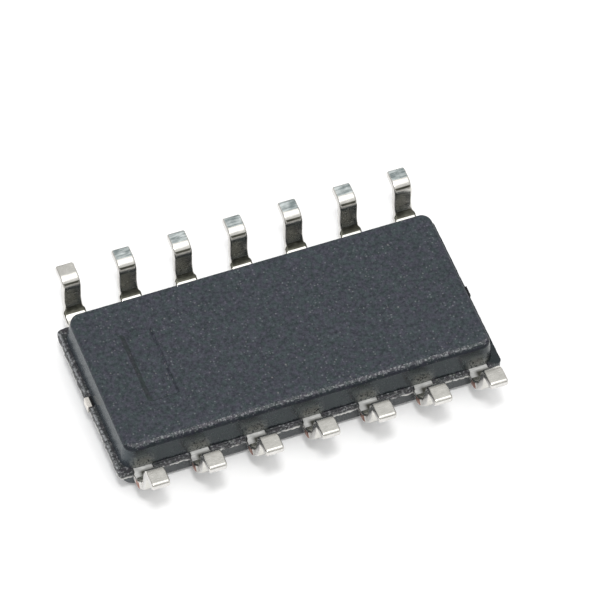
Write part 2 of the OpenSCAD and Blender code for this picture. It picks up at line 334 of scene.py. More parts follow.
# painted shade: the recess slope is coloured darker than the face
resin_slope_shade = resin_finish(
    "resin_recess_slope_painted_shade", dark=(0.01, 0.014, 0.016), light=(0.03, 0.037, 0.04),
    grain_size=0.03, bump=(0.3, 0.004), rough=(0.5, 0.65), index=1.35,
    specks=[(0.07, 0.2, 0.35, 0.25)],
)[0]
print("face finishes:", [m.name for m in (resin_face, resin_rim, resin_rim_shade_and_wear, resin_slope_shade)])

# %% [markdown]
# ## Resin of the walls
# The walls slid along polished steel when the chip left the mould, so they are smooth and
# dark. Above each lead the wall gets a pale patch: partly crumbs where the trimming tool
# rubbed it, partly painted light where the shiny lead throws light onto the wall. The end wall
# beside the recess is painted a lighter, cooler grey, a painted reflection. The patches repeat
# with the leads: a Ping-Pong step folds X into the distance from the nearest lead, so one small
# network serves all fourteen places.

# %% Finish of the walls
# pale patch above each lead: rubbed crumbs with painted light
PALE_SCUFF_AND_GLOW = (0.3, 0.3, 0.27, 1)
# painted reflection: a lighter, cooler grey for the end wall by the recess
COOL_PAINTED_REFLECTION = (0.04, 0.048, 0.057, 1)
WALL_SHEEN = (0.84, 1.0, 1.03, 1)
LEAD_PITCH = 1.27
SCUFF_GLOW_BESIDE, SCUFF_GLOW_RISE = (0.3, 0.14), (1.2, 0.95)
SCUFF_GLOW_SHARE = 0.5
SIDE_START, UPPER_START = 1.75, 0.83
COOL_REFLECTION_SPAN = (-3.95, -4.13)

resin_wall, tree, shader, place, plain = resin_finish(
    "resin_smooth_wall", dark=(0.009, 0.011, 0.013), light=(0.015, 0.018, 0.02),
    grain_size=0.12, bump=(0.08, 0.003), rough=(0.2, 0.3), index=1.46,
    specks=[(0.2, 0.2, 0.12, 0.3)],
)
shader.inputs["Specular Tint"].default_value = WALL_SHEEN
axes = add(tree, "SeparateXYZ", {"Vector": place}).outputs
beside = spread(tree, maths(tree, "PINGPONG", axes["X"], LEAD_PITCH / 2), *SCUFF_GLOW_BESIDE)
low = spread(tree, axes["Z"], *SCUFF_GLOW_RISE)
on_side = maths(tree, "GREATER_THAN", maths(tree, "ABSOLUTE", axes["Y"]), SIDE_START)
on_upper = maths(tree, "GREATER_THAN", axes["Z"], UPPER_START)
rubbed = grouped(tree, crumb_group, {"Place": place, "Size": 0.05, "Start": 0.4})["Mask"]
# painted light from the leads, laid only where the rubbed crumbs are
scuff_and_glow = beside
for mask in (low, on_side, on_upper, rubbed, SCUFF_GLOW_SHARE):
    scuff_and_glow = maths(tree, "MULTIPLY", scuff_and_glow, mask)
# painted reflection towards the end wall by the recess
with_cool_reflection = blend(tree, spread(tree, axes["X"], *COOL_REFLECTION_SPAN), plain, COOL_PAINTED_REFLECTION)
tree.links.new(blend(tree, scuff_and_glow, with_cool_reflection, PALE_SCUFF_AND_GLOW), shader.inputs["Base Color"])
print("wall finish:", resin_wall.name, "with", len(tree.nodes), "nodes")

# %% [markdown]
# ## Resin of the flange
# The flange at the parting line is where the mould leaked. Its ledges are crumbled, most of
# all along the outer edge of the recess end. Its outer face was broken off its flash: it is
# rough, and it turns pale towards its lower edge. Both use the recipe's band for that.

# %% Finishes of the flange
# the flange's outer face turns pale towards its lower edge
PALE_LOW_EDGE = (0.62, 0.62, 0.6, 1)

resin_ledge = resin_finish(
    "resin_crumbled_ledge", dark=(0.01, 0.011, 0.013), light=(0.03, 0.032, 0.035),
    grain_size=0.05, bump=(1.0, 0.02), rough=(0.4, 0.7), index=1.45,
    specks=[(0.08, 0.3, 0.45, 0.4)], crumbs=[(0.075, 0.55, 0.5)],
    band=("X", -4.27, -4.34, 0.06, 0.44, PALE_CRUMB),
)[0]
resin_flash = resin_finish(
    "resin_broken_flash", dark=(0.012, 0.013, 0.015), light=(0.04, 0.042, 0.045),
    grain_size=0.05, bump=(1.0, 0.02), rough=(0.4, 0.7), index=1.45,
    specks=[(0.08, 0.3, 0.45, 0.5)], crumbs=[(0.06, 0.53, 0.6)],
    band=("Z", 0.7, 0.65, 0.16, 0.42, PALE_LOW_EDGE),
)[0]
resin_finishes = [
    resin_face, resin_wall, resin_rim, resin_ledge, resin_flash, resin_slope_shade, resin_rim_shade_and_wear,
]
FACE, WALL, RIM, LEDGE, FLASH, SHADED_SLOPE, RIM_PAINTED_SHADE = range(7)
print("resin finishes:", [m.name for m in resin_finishes])

# %% [markdown]
# ## One recipe for the metal
# Rolled and plated sheet shows fine lines and soft cloudy patches. Noise makes both: the
# lines come from noise that is stretched by a Mapping node, the patches from plain noise. The
# product of the two chooses the colour, and the lines also vary the roughness and give a very
# soft relief, so that reflections break up a little.

# %% Metal recipe
STREAK_SPAN, PATCH_SPAN = (0.3, 0.7), (0.15, 0.4)
PATCH_SCALE = 5.0
STREAK_DEPTH = 0.003 * MM


def metal_finish(name, dark, light, rough, lines, bump):
    """One finish of sheet metal: its material, nodes, shader, place and colour."""
    finish, tree, shader, place = start_finish(name)
    stretched = add(tree, "Mapping", {"Vector": place, "Scale": lines}).outputs[0]
    streaks = add(tree, "TexNoise", {"Vector": stretched, "Scale": 1.0, "Detail": 4.0}).outputs["Fac"]
    patches = add(tree, "TexNoise", {"Vector": place, "Scale": PATCH_SCALE, "Detail": 2.0})
    share = maths(tree, "MULTIPLY", streaks, patches.outputs["Fac"])
    colour = blend(tree, spread(tree, share, *PATCH_SPAN), (*dark, 1), (*light, 1))
    relief = add(tree, "Bump", {"Height": streaks, "Strength": bump, "Distance": STREAK_DEPTH})
    tree.links.new(spread(tree, streaks, *STREAK_SPAN, *rough), shader.inputs["Roughness"])
    tree.links.new(relief.outputs[0], shader.inputs["Normal"])
    tree.links.new(colour, shader.inputs["Base Color"])
    shader.inputs["Metallic"].default_value = 1.0
    return finish, tree, shader, place, colour


print("metal recipe ready")

# %% [markdown]
# ## Tin and copper of the leads
# The leads are copper alloy with a tin plating, which the bending dies polished on the legs
# and feet. Most of the far feet carry dark strokes where a test socket gripped them. The inside
# of the far knees is painted dark, as painted shade where they face the black body. Where the
# bar across the leads was cut away after the plating, bare copper shows at the ends of the
# near stubs.

# %% Finishes of the leads
ROLLED = (8, 60, 30)

tin_plate = metal_finish(
    "tin_plate", dark=(0.64, 0.63, 0.59), light=(0.78, 0.765, 0.715),
    rough=(0.2, 0.28), lines=ROLLED, bump=0.05)[0]
tin_gripped = metal_finish(
    "tin_gripped", dark=(0.3, 0.35, 0.35), light=(0.86, 0.92, 0.91),
    rough=(0.24, 0.34), lines=(3, 22, 22), bump=0.1)[0]
# painted shade: the inside of the far knees, coloured near black
tin_knee_shade = metal_finish(
    "tin_knee_painted_shade", dark=(0.07, 0.07, 0.055), light=(0.15, 0.15, 0.12),
    rough=(0.34, 0.46), lines=ROLLED, bump=0.1)[0]
tin_sheared = metal_finish(
    "tin_sheared_edge", dark=(0.66, 0.645, 0.62), light=(0.8, 0.785, 0.76),
    rough=(0.14, 0.24), lines=(40, 40, 8), bump=0.08)[0]
copper_cut = metal_finish(
    "copper_dam_bar_cut", dark=(0.26, 0.1, 0.07), light=(0.55, 0.32, 0.25),
    rough=(0.25, 0.4), lines=(30, 30, 60), bump=0.2)[0]
print("tin and copper:", [m.name for m in (tin_plate, tin_gripped, tin_knee_shade, tin_sheared, copper_cut)])

# %% [markdown]
# ## Matt shoulders of the near row
# The near shoulders were clamped while the leads were bent, which left their tin matt and
# pale. On one side of the inside of the bend a dark patch is painted: a painted shadow of the
# foot above it. A Wrap step counts X from the middle of the nearest lead, with its sign, so
# the patch can start at the same place on all seven.

# %% Finish of the near shoulders
# painted shadow of the foot on the near shoulder
FOOT_SHADOW_PAINT = (0.05, 0.05, 0.04, 1)
FOOT_SHADOW_REACH, FOOT_SHADOW_ACROSS = (-1.96, -2.04), (-0.15, -0.06)
MATT_METALLIC = 0.5

tin_matt, tree, shader, place, colour = metal_finish(
    "tin_matt", dark=(0.46, 0.46, 0.45), light=(0.72, 0.72, 0.7),
    rough=(0.5, 0.65), lines=ROLLED, bump=0.1)
shader.inputs["Metallic"].default_value = MATT_METALLIC
axes = add(tree, "SeparateXYZ", {"Vector": place}).outputs
one_pitch = {0: axes["X"], 1: LEAD_PITCH / 2, 2: -LEAD_PITCH / 2}
across = add(tree, "Math", one_pitch, operation="WRAP").outputs[0]
in_bend = spread(tree, axes["Y"], *FOOT_SHADOW_REACH)
# painted shadow: dark on one side of the bend, where the foot's shadow falls
painted_foot_shadow = maths(tree, "MULTIPLY", in_bend, spread(tree, across, *FOOT_SHADOW_ACROSS))
tree.links.new(blend(tree, painted_foot_shadow, colour, FOOT_SHADOW_PAINT), shader.inputs["Base Color"])
lead_finishes = [tin_plate, tin_sheared, copper_cut, tin_matt, tin_gripped, tin_knee_shade]
TIN, SHEARED, COPPER, MATT, GRIPPED, KNEE_SHADE = range(6)
print("lead finishes:", [m.name for m in lead_finishes])

# %% [markdown]
# ## Body outlines
# The body is two drafted halves that meet at a thin flange, where the mould closed. Seen from
# above every level is a rectangle with round corners, so one helper makes such an outline: a
# single quad whose corner vertices are bevelled. All outlines have the same number of points,
# and bridging one to the next gives clean walls and ledges. They are bridged while they stand
# one millimetre apart, like a stack of plates, because two outlines at one height have no
# clear order. Then each one goes to its own height.

# %% Body outlines
CORNER_STEPS = 10
BODY_LENGTH, BODY_WIDTH, BODY_HEIGHT = 8.7, 3.95, 1.45
SHEET = 0.2
FLANGE_LOW, FLANGE_TOP = BODY_HEIGHT / 2 - SHEET / 2, BODY_HEIGHT / 2 + SHEET / 2
END_LEDGE, SIDE_LEDGE = 0.125, 0.065
WALL_CORNER, FLANGE_CORNER = 0.31, 0.1
DRAFT = math.radians(8)
TAPER = FLANGE_LOW * math.tan(DRAFT)
WALL_LENGTH, WALL_WIDTH = BODY_LENGTH - 2 * END_LEDGE, BODY_WIDTH - 2 * SIDE_LEDGE
FACE_LENGTH, FACE_WIDTH = WALL_LENGTH - 2 * TAPER, WALL_WIDTH - 2 * TAPER
FACE_CORNER = WALL_CORNER - TAPER


def round_off(bm, geom, radius, steps, affect="EDGES"):
    """Bevels edges, or the corners of a face, to a round, and gives the new faces."""
    return bmesh.ops.bevel(bm, geom=geom, offset=radius, offset_type="OFFSET", affect=affect,
                           segments=steps, profile=0.5, material=-1)["faces"]


def outline(bm, size_x, size_y, radius, z):
    """A face with round corners, level at height z."""
    old = set(bm.faces)
    corners = bmesh.ops.create_grid(bm, x_segments=1, y_segments=1, size=0.5)["verts"]
    bmesh.ops.scale(bm, verts=corners, vec=(size_x, size_y, 1))
    bmesh.ops.translate(bm, verts=corners, vec=(0, 0, z))
    round_off(bm, corners, radius, CORNER_STEPS, "VERTICES")
    return next(f for f in bm.faces if f not in old)


body_bm = bmesh.new()
levels = [
    (FACE_LENGTH, FACE_WIDTH, FACE_CORNER, 0),
    (WALL_LENGTH, WALL_WIDTH, WALL_CORNER, FLANGE_LOW),
    (BODY_LENGTH, BODY_WIDTH, FLANGE_CORNER, FLANGE_LOW),
    (BODY_LENGTH, BODY_WIDTH, FLANGE_CORNER, FLANGE_TOP),
    (WALL_LENGTH, WALL_WIDTH, WALL_CORNER, FLANGE_TOP),
    (FACE_LENGTH, FACE_WIDTH, FACE_CORNER, BODY_HEIGHT),
]
plates = [outline(body_bm, *level[:3], shelf) for shelf, level in enumerate(levels)]
loops = [list(plate.edges) for plate in plates]
bmesh.ops.delete(body_bm, geom=plates[1:-1], context="FACES_ONLY")
for below, above in zip(loops, loops[1:]):
    bmesh.ops.bridge_loops(body_bm, edges=below + above)
for loop, level in zip(loops, levels):
    for v in {v for e in loop for v in e.verts}:
        v.co.z = level[3]
bmesh.ops.recalc_face_normals(body_bm, faces=body_bm.faces)
print("body faces:", len(body_bm.faces), "volume:", round(body_bm.calc_volume(signed=True), 2))

# %% [markdown]
# ## Round the rims
# No moulded edge is perfectly sharp, and a small round is what catches the light. The rims of
# both big faces get a bevel of a tenth or two of a millimetre. Every face also gets the number
# of its finish: the walls the smooth one, the flange the crumbled and the broken ones. The
# near rim of the underside is worn on top, below that it gets a darker finish as painted
# shade, and the rest of that rim goes on with the grain of the face.

# %% Rims and finishes of the body
TOP_ROUND, LOW_ROUND = 0.11, 0.2
RIM_STEPS = 5
LEVEL, WORN = 0.9, 0.8
NEAR_TILT, FACE_TILT = 0.1, 0.2
TOUCH = 0.001

for face in body_bm.faces:
    height = face.calc_center_median().z
    level = abs(face.normal.z) > LEVEL
    if FLANGE_LOW - TOUCH < height < FLANGE_TOP + TOUCH:
        face.material_index = LEDGE if level else FLASH
    else:
        face.material_index = FACE if level else WALL
strips = []
for rim, radius in ((loops[0], LOW_ROUND), (loops[-1], TOP_ROUND)):
    strips += round_off(body_bm, rim, radius, RIM_STEPS)
for face in strips:
    face.material_index = WALL
    if face.normal.z > NEAR_TILT and face.normal.y < -NEAR_TILT:
        # worn crumbs on top, painted shade on the lower part of the near rim
        face.material_index = RIM if face.normal.z > WORN else RIM_PAINTED_SHADE
    elif face.normal.z > FACE_TILT:
        face.material_index = FACE
print("rim strips:", len(strips))

# %% [markdown]
# ## Tighten the far rim
# Handling wore the near rim round, while the far rim of the underside is still almost sharp. A
# bevel has one width all the way round, so the far part is drawn in afterwards: each of its
# points moves towards the sharp rim that it came from, which is the same as a smaller bevel.
# Round the corners the share grows with the direction, so the change is gradual.

# %% Far rim
FAR_ROUND = 0.04


def straight_out(point, length, width, radius):
    """The centre that a point of a rounded outline turns about, and the way out from there."""
    hold_x, hold_y = length / 2 - radius, width / 2 - radius
    x = max(-hold_x, min(hold_x, point.x))
    y = max(-hold_y, min(hold_y, point.y))
    centre = Vector((x, y, point.z))
    return centre, (point - centre).normalized()


drawn = 0
for v in {v for face in strips for v in face.verts}:
    centre, outward = straight_out(v.co, FACE_LENGTH, FACE_WIDTH, FACE_CORNER)
    if v.co.z > FLANGE_TOP and outward.y > 0:
        sharp = centre + outward * FACE_CORNER
        sharp.z = BODY_HEIGHT
        v.co = v.co.lerp(sharp, outward.y * (1 - FAR_ROUND / TOP_ROUND))
        drawn += 1
print("far rim points drawn in:", drawn)

# %% [markdown]
# ## Cut the flange's edge into steps
# The flange's flash was broken off, so its edge is ragged, and a ragged edge needs points to
# move. The long edges of its outline are cut into short steps and its thickness into layers.
# Subdividing just these edges keeps the walls and the big faces free of extra points.

# %% Steps along the flange
RAG_STEP = 0.035
RAG_LAYERS = 3
LONG_EDGE = 0.5


def on_outline(vert):
    """True for a point of the flange's outer outline."""
    on_end = abs(abs(vert.co.x) - BODY_LENGTH / 2) < TOUCH
    on_side = abs(abs(vert.co.y) - BODY_WIDTH / 2) < TOUCH
    return on_end or on_side


def in_flange(vert):
    """True for a point at the flange's height."""
    return FLANGE_LOW - TOUCH < vert.co.z < FLANGE_TOP + TOUCH


outer = [e for e in body_bm.edges if all(on_outline(v) for v in e.verts)]
long_edges = [e for e in outer if e.calc_length() > LONG_EDGE]
for length in (BODY_LENGTH, BODY_WIDTH):
    run = length - 2 * FLANGE_CORNER
    chosen = [e for e in long_edges if abs(e.calc_length() - run) < RAG_STEP / 2]
    bmesh.ops.subdivide_edges(body_bm, edges=chosen, cuts=round(run / RAG_STEP))
upright = [e for e in body_bm.edges if all(in_flange(v) for v in e.verts)
           and abs(e.verts[0].co.z - e.verts[1].co.z) > SHEET - TOUCH]
bmesh.ops.subdivide_edges(body_bm, edges=upright, cuts=RAG_LAYERS)
print("upright edges cut:", len(upright))

# %% [markdown]
# ## Break the flange's edge
# Noise pushes every outer point inwards by a few hundredths of a millimetre: never outwards,
# so the body keeps its size. Coarse and fine noise together give big and small bites. The
# right-hand end broke off cleanly, so it gets much smaller ones, and the smooth finish up to
# the rim's foot. The faces are made triangles, because quads between moved points would be
# bent.

# %% Ragged flange
RAG_DEPTH, CLEAN_DEPTH = 0.022, 0.0044
BROKEN = (LEDGE, FLASH, RIM_PAINTED_SHADE)
CLEAN_END = WALL_LENGTH / 2 - 0.1
OUTER_X, OUTER_Y = WALL_LENGTH / 2 + 0.05, WALL_WIDTH / 2 + 0.03
COARSE_SCALE, FINE_SCALE = 8, 27
FINE_SHIFT = Vector((5, 0, 0))
MEAN_BITE, COARSE_BITE, FINE_BITE = 0.4, 0.9, 0.7
LIP_SHARE = 0.5

ragged = [v for v in body_bm.verts if in_flange(v)
          and (abs(v.co.x) > OUTER_X or abs(v.co.y) > OUTER_Y)]
for v in ragged:
    coarse = noise.noise(v.co * COARSE_SCALE)
    fine = noise.noise(v.co * FINE_SCALE + FINE_SHIFT)
    depth = RAG_DEPTH if v.co.x < CLEAN_END else CLEAN_DEPTH
    bite = max(0.0, MEAN_BITE + COARSE_BITE * coarse + FINE_BITE * fine) * depth
    v.co -= straight_out(v.co, BODY_LENGTH, BODY_WIDTH, FLANGE_CORNER)[1] * bite
    if abs(v.co.z - FLANGE_TOP) < TOUCH:
        v.co.z -= bite * LIP_SHARE
    elif abs(v.co.z - FLANGE_LOW) < TOUCH:
        v.co.z += bite * LIP_SHARE
broken = [f for f in body_bm.faces if f.material_index in BROKEN]
bmesh.ops.triangulate(body_bm, faces=broken)
for face in body_bm.faces:
    if face.material_index in BROKEN and face.calc_center_median().x > CLEAN_END:
        face.material_index = WALL
print("ragged points:", len(ragged))

# %% [markdown]
# ## Recess cutter
# A shallow recess with one long slope is sunk in the underside near lead 1. It is cut with a
# Boolean, because the big face has no edges there to start from. The cutter is again two
# outlines with round corners: the lower one is smaller, which slopes the sides, and it is
# shifted, which gives the side towards the end wall its longer slope. A Boolean hands on the
# finish of the cutter's faces, so the slope is marked here.

# %% Recess cutter
RECESS_INSET, RECESS_MIDDLE = 0.85, 0.09
RECESS_LENGTH, RECESS_WIDTH, RECESS_DEPTH = 0.72, 1.84, 0.05
RECESS_SLOPE, RECESS_DRAFT, RECESS_CORNER = 0.11, 0.055, 0.09
RECESS_X = RECESS_INSET - FACE_LENGTH / 2 + RECESS_LENGTH / 2
SLOPE_TILT = -0.3

recess_bm = bmesh.new()
recess_loops = []
for grow in (-1, 1):
    length = RECESS_LENGTH + grow * (RECESS_SLOPE + RECESS_DRAFT)
    width = RECESS_WIDTH + grow * 2 * RECESS_DRAFT
    corner = RECESS_CORNER + grow * RECESS_DRAFT
    plate = outline(recess_bm, length, width, corner, BODY_HEIGHT + grow * RECESS_DEPTH)
    middle_x = RECESS_X - grow * (RECESS_SLOPE - RECESS_DRAFT) / 2
    bmesh.ops.translate(recess_bm, verts=plate.verts, vec=(middle_x, RECESS_MIDDLE, 0))
    recess_loops += list(plate.edges)
bmesh.ops.bridge_loops(recess_bm, edges=recess_loops)
bmesh.ops.recalc_face_normals(recess_bm, faces=recess_bm.faces)
for face in recess_bm.faces:
    # the long slope gets the darker finish, which is painted shade
    if face.normal.x < SLOPE_TILT:
        face.material_index = SHADED_SLOPE
print("recess cutter faces:", len(recess_bm.faces))

# %% [markdown]
# ## Dimple and slot cutters
# A round dimple marks lead 1 on the marked face, so its cutter is a short cylinder. The
# flange also needs a slot for every lead and tie bar, so that metal and resin meet flush
# instead of lying inside each other. All sixteen slots are plain boxes in one cutter, each a
# few micrometres wider than its metal.

# %% Dimple and slot cutters
DIMPLE_RADIUS, DIMPLE_DEPTH, DIMPLE_INSET = 0.3, 0.06, 0.9
DIMPLE_SIDES = 48
SHOULDER_WIDTH, TIE_BAR_WIDTH = 0.44, 0.25
SLOT_GAP, SLOT_ROOT, SLOT_MOUTH = 0.004, 0.02, 0.05
SLOT_LOW, SLOT_HIGH = FLANGE_LOW - SLOT_GAP, FLANGE_TOP + SLOT_GAP

dimple_bm = bmesh.new()
disc = bmesh.ops.create_cone(dimple_bm, cap_ends=True, segments=DIMPLE_SIDES,
                             radius1=DIMPLE_RADIUS, radius2=DIMPLE_RADIUS,
                             depth=2 * DIMPLE_DEPTH)["verts"]
bmesh.ops.translate(dimple_bm, verts=disc, vec=(
    DIMPLE_INSET - BODY_LENGTH / 2, BODY_WIDTH / 2 - DIMPLE_INSET, 0))


def slot_box(bm, low, high):
    """A box between two corners, for a cutter."""
    verts = bmesh.ops.create_cube(bm, size=1.0)["verts"]
    low, high = Vector(low), Vector(high)
    bmesh.ops.scale(bm, verts=verts, vec=high - low)
    bmesh.ops.translate(bm, verts=verts, vec=(high + low) / 2)


slots_bm = bmesh.new()
half = SHOULDER_WIDTH / 2 + SLOT_GAP
for column in range(-3, 4):
    for side in (-1, 1):
        x = column * LEAD_PITCH
        ys = sorted((side * (WALL_WIDTH / 2 - SLOT_ROOT), side * (BODY_WIDTH / 2 + SLOT_MOUTH)))
        slot_box(slots_bm, (x - half, ys[0], SLOT_LOW), (x + half, ys[1], SLOT_HIGH))
half = TIE_BAR_WIDTH / 2 + SLOT_GAP
for side in (-1, 1):
    xs = sorted((side * (WALL_LENGTH / 2 - SLOT_ROOT), side * (BODY_LENGTH / 2 + SLOT_MOUTH)))
    slot_box(slots_bm, (xs[0], -half, SLOT_LOW), (xs[1], half, SLOT_HIGH))
print("dimple faces:", len(dimple_bm.faces), "slot faces:", len(slots_bm.faces))

# %% [markdown]
# ## Cut the body
# The body and its cutters become objects, and each cutter is taken away with a Boolean
# modifier. A modifier would be worked out again at every render, so its result is made the
# body's own mesh at once, and the cutter is removed.


# %% Cut the body
def mesh_object(name, bm, finishes=()):
    """An object from a bmesh, with its finishes, linked to the scene."""
    mesh = bpy.data.meshes.new(name)
    bm.to_mesh(mesh)
    bm.free()
    for finish in finishes:
        mesh.materials.append(finish)
    made = bpy.data.objects.new(name, mesh)
    scene.collection.objects.link(made)
    return made


def settle(piece):
    """Makes the result of a piece's modifiers its own mesh."""
    graph = bpy.context.evaluated_depsgraph_get()
    result = bpy.data.meshes.new_from_object(piece.evaluated_get(graph))
    piece.modifiers.clear()
    piece.data = result


def cut_away(piece, cutter):
    """Takes the cutter's volume out of the piece, and removes the cutter."""
    step = piece.modifiers.new("cut", "BOOLEAN")
    step.object, step.operation, step.solver = cutter, "DIFFERENCE", "EXACT"
    settle(piece)
    bpy.data.objects.remove(cutter)


resin_body = mesh_object("resin_body", body_bm, resin_finishes)
cut_away(resin_body, mesh_object("recess_cutter", recess_bm))
cut_away(resin_body, mesh_object("dimple_cutter", dimple_bm))
cut_away(resin_body, mesh_object("slot_cutter", slots_bm))
print("body after cuts:", len(resin_body.data.polygons), "faces")

# %% [markdown]
# ## Finish the body
# Everything so far was modelled in millimetres, where a bevel of a few hundredths is a
# comfortable number. Faces are shaded smooth, with a crease wherever two of them meet at a
# real edge. Next to a bevel, smooth shading would bend the look of a flat face, so the shading
# normals are weighted: at a corner the larger faces count for more. One scale at the end makes
# metres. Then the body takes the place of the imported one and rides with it.

# %% Body to metres
CREASE = math.radians(32)
NORMAL_WEIGHT = 50


def to_metres(piece):
    """Shades a piece and scales its mesh from millimetres to metres."""
    for polygon in piece.data.polygons:
        polygon.use_smooth = True
    piece.data.set_sharp_from_angle(angle=CREASE)
    step = piece.modifiers.new("even_shading", "WEIGHTED_NORMAL")
    step.weight, step.keep_sharp = NORMAL_WEIGHT, True
    settle(piece)
    piece.data.transform(Matrix.Scale(MM, 4))


to_metres(resin_body)
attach(resin_body, "root")
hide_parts("moulded_body")
print("body box in mm:", as_mm(resin_body.bound_box[0], resin_body.bound_box[6]))

# %% [markdown]
# ## Sizes of a lead
# A lead is a strip of sheet that was stamped and then bent twice: out of the body, up round
# the knee, along the leg and out again over the heel to the foot. The bends are measured on
# the middle of the sheet. The span, the foot and the two radii are known, so the length of
# the leg and the place of the knee follow from them.

# %% Lead sizes
STUB_WIDTH, LEAD_WIDTH = 0.5, 0.41
STUB_RUN, STEP_RUN = 0.02, 0.05
STUB_ANGLE, FLARE_ANGLE = math.radians(35), math.radians(15)
LEG_TILT = math.radians(85)
KNEE_MID, HEEL_MID = 0.36 + SHEET / 2, 0.08 + SHEET / 2
FOOT_FLAT, SPAN, STANDOFF = 0.28, 6.0, 0.25
FRAME_MID = BODY_HEIGHT / 2
FOOT_MID = BODY_HEIGHT + STANDOFF - SHEET / 2
BEND_RISE = (KNEE_MID + HEEL_MID) * (1 - math.cos(LEG_TILT))
BEND_REACH = (KNEE_MID + HEEL_MID) * math.sin(LEG_TILT)
LEG_LENGTH = (FOOT_MID - FRAME_MID - BEND_RISE) / math.sin(LEG_TILT)
KNEE_Y = SPAN / 2 - FOOT_FLAT - BEND_REACH - LEG_LENGTH * math.cos(LEG_TILT)
print("knee at y", round(KNEE_Y, 4), "leg length", round(LEG_LENGTH, 4))

# %% [markdown]
# ## Push and turn a strip
# The strip is built the way it is bent. Extruding the face at its end makes a straight run,
# and spinning it about an axis makes a bend. Both leave the old end face inside the strip, so
# it is deleted, and both can bring the new end to another width.

# %% Steps of the strip
BEND_STEP = math.radians(5)


def set_width(face, width):
    """Brings the strip's end to a width, about its own middle."""
    middle = face.calc_center_median().x
    for v in face.verts:
        v.co.x = middle + math.copysign(width / 2, v.co.x - middle)


def push(bm, face, vector, width=None):
    """Extrudes the strip's end, to another width if one is given, and gives the new end."""
    grown = bmesh.ops.extrude_face_region(bm, geom=[face])["geom"]
    points = [g for g in grown if isinstance(g, bmesh.types.BMVert)]
    bmesh.ops.translate(bm, verts=points, vec=vector)
    bmesh.ops.delete(bm, geom=[face], context="FACES_ONLY")
    end = next(g for g in grown if isinstance(g, bmesh.types.BMFace))
    if width is not None:
        set_width(end, width)
    return end


def turn(bm, face, centre, angle, widths=None):
    """Spins the strip's end round a bend, from one width to another, and gives the new end."""
    steps = max(1, round(abs(angle) / BEND_STEP))
    for step in range(1, steps + 1):
        spun = bmesh.ops.spin(bm, geom=[face], cent=centre, axis=(1, 0, 0), dvec=(0, 0, 0),
                              angle=angle / steps, steps=1, use_merge=False)["geom_last"]
        bmesh.ops.delete(bm, geom=[face], context="FACES_ONLY")
        face = next(g for g in spun if isinstance(g, bmesh.types.BMFace))
        if widths is not None:
            ease = (1 - math.cos(math.pi * step / steps)) / 2
            set_width(face, widths[0] + (widths[1] - widths[0]) * ease)
    return face


print("bend step in degrees:", round(math.degrees(BEND_STEP)))

# %% [markdown]
# ## Root of a lead
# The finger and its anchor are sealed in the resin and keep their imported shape. A copy of the
# packed lead is cut off just inside the wall, and the cut is closed with one face. From that
# face the outer strip grows. Bisecting the copy is safer than drawing the finger again: it
# has to meet the resin exactly.

# %% Root of a lead
ROOT_Y = BODY_WIDTH / 2 - 0.2
ROW_COUNT = 7
WELD, CUT_TOLERANCE = 0.0005, 0.0001
FLAT_ANGLE = 0.01


def lead_root(number):
    """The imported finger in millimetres, its open end as a face, and the way out of the body."""
    out = 1 if number <= ROW_COUNT else -1
    bm = bmesh.new()
    bm.from_mesh(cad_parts[f"lead_{number:02d}"].data)
    bmesh.ops.scale(bm, verts=bm.verts, vec=(1 / MM,) * 3)
    bmesh.ops.remove_doubles(bm, verts=bm.verts, dist=WELD)
    everything = bm.verts[:] + bm.edges[:] + bm.faces[:]
    bmesh.ops.bisect_plane(bm, geom=everything, dist=CUT_TOLERANCE, plane_co=(0, out * ROOT_Y, 0),
                           plane_no=(0, out, 0), clear_outer=True)
    bmesh.ops.dissolve_limit(bm, angle_limit=FLAT_ANGLE, verts=bm.verts, edges=bm.edges)
    rim = [e for e in bm.edges if e.is_boundary]
    end = bmesh.ops.contextual_create(bm, geom=rim)["faces"][0]
    return bm, end, out


print("roots start at y", round(ROOT_Y, 3))

# %% [markdown]
# ## Bend a lead
# From its root the strip runs out to the knee, where it widens to the stubs that are left of
# the bar that tied the leads together. Part of the way round the knee it narrows to the leg,
# and it ends in the flat foot. Stamping and plating rounded its edges, so they are bevelled
# last, the two long edges of the tip a little more.

# %% Bend a lead
ROOT_RUN = 0.03
EDGE_ROUND, EDGE_STEPS = 0.045, 4
TIP_ROUND, TIP_STEPS = 0.08, 6
SHARP_ANGLE = 0.9
ROOT_CLEAR = 0.01


